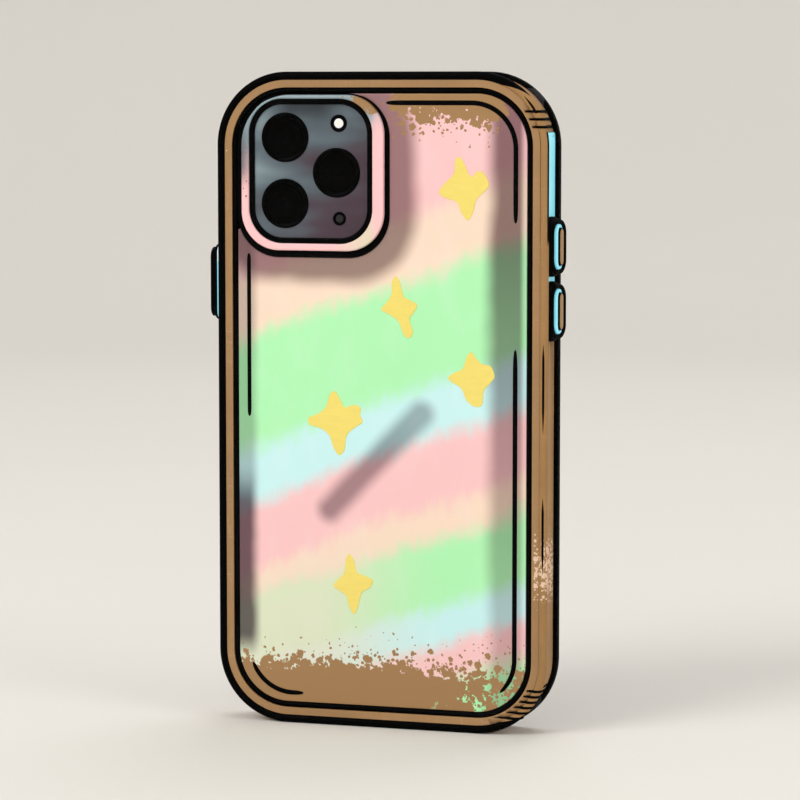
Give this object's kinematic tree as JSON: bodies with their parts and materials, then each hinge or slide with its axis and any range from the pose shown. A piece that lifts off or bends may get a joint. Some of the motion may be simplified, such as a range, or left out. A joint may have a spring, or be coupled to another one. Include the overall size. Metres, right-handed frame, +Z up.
{
  "type": "phone case",
  "caption": "Bumper case for a slim phone, with a printed clear back, a glazed camera corner, raised guard, shock cushions and sprung side buttons.",
  "frame": {"origin": "centre of the bottom edge that the case stands on, midway between its back and its front", "axes": "+Z up along the height, -Y out of the back panel, +X towards the side with the volume buttons"},
  "size_m": [0.0844, 0.0132, 0.1516],
  "materials": {
    "tan_bumper": "satin moulded elastomer, rubbed pale along its edges",
    "black_elastomer": "matte to satin moulded elastomer",
    "clear_back": "clear polycarbonate over a pastel print, gloss",
    "printed_film": "thin printed film, matt",
    "clear_guard": "clear polycarbonate with a pastel tint, gloss",
    "smoked_glass": "smoked cover glass, polished",
    "black_metal": "black anodised ring, satin",
    "lens_glass": "coated black lens window, polished",
    "flash_white": "frosted white diffuser",
    "dark_mesh": "fine black woven mesh",
    "light_blue": "light blue gloss plastic",
    "tan_pad": "tan soft-touch pad",
    "cushion_foam": "closed-cell shock foam",
    "star_foil": "yellow raised print, satin",
    "raised_ink": "black raised print, satin"
  },
  "bodies": {
    "case": {"bumper": "tan_bumper", "edge_piping": "black_elastomer", "inner_tray": "black_elastomer", "back_panel": "clear_back", "artwork_film": "printed_film", "guard_seal": "black_elastomer", "camera_guard": "clear_guard", "camera_bezel": "black_elastomer", "camera_glass": "smoked_glass", "lens_ring_1": "black_metal", "lens_ring_2": "black_metal", "lens_ring_3": "black_metal", "lens_glass_1": "lens_glass", "lens_glass_2": "lens_glass", "lens_glass_3": "lens_glass", "flash_ring": "black_metal", "flash_diffuser": "flash_white", "mic_ring": "black_metal", "mic_mesh": "dark_mesh", "side_inlay": "light_blue", "power_collar": "black_elastomer", "volume_up_collar": "black_elastomer", "volume_down_collar": "black_elastomer", "cushion_top_right": "cushion_foam", "cushion_top_left": "cushion_foam", "cushion_bottom_left": "cushion_foam", "cushion_bottom_right": "cushion_foam", "grip_ribs_top": "black_elastomer", "grip_ribs_bottom": "black_elastomer", "star_1": "star_foil", "star_2": "star_foil", "star_3": "star_foil", "star_4": "star_foil", "star_5": "star_foil", "accent_top_right": "raised_ink", "accent_right": "raised_ink", "accent_left": "raised_ink", "accent_bottom_left": "raised_ink"},
    "power_button": {"power_cap": "light_blue", "power_pad": "black_elastomer", "power_plunger": "black_elastomer"},
    "volume_up_button": {"volume_up_cap": "light_blue", "volume_up_pad": "tan_pad", "volume_up_plunger": "black_elastomer"},
    "volume_down_button": {"volume_down_cap": "light_blue", "volume_down_pad": "tan_pad", "volume_down_plunger": "black_elastomer"}
  },
  "joints": [
    {"name": "power_press", "type": "slide", "parent": "case", "child": "power_button", "axis": [1, 0, 0], "range_m": [0, 0.0004], "stiffness_N_per_m": 1500},
    {"name": "volume_up_press", "type": "slide", "parent": "case", "child": "volume_up_button", "axis": [-1, 0, 0], "range_m": [0, 0.0004], "stiffness_N_per_m": 1500},
    {"name": "volume_down_press", "type": "slide", "parent": "case", "child": "volume_down_button", "axis": [-1, 0, 0], "range_m": [0, 0.0004], "stiffness_N_per_m": 1500}
  ]
}
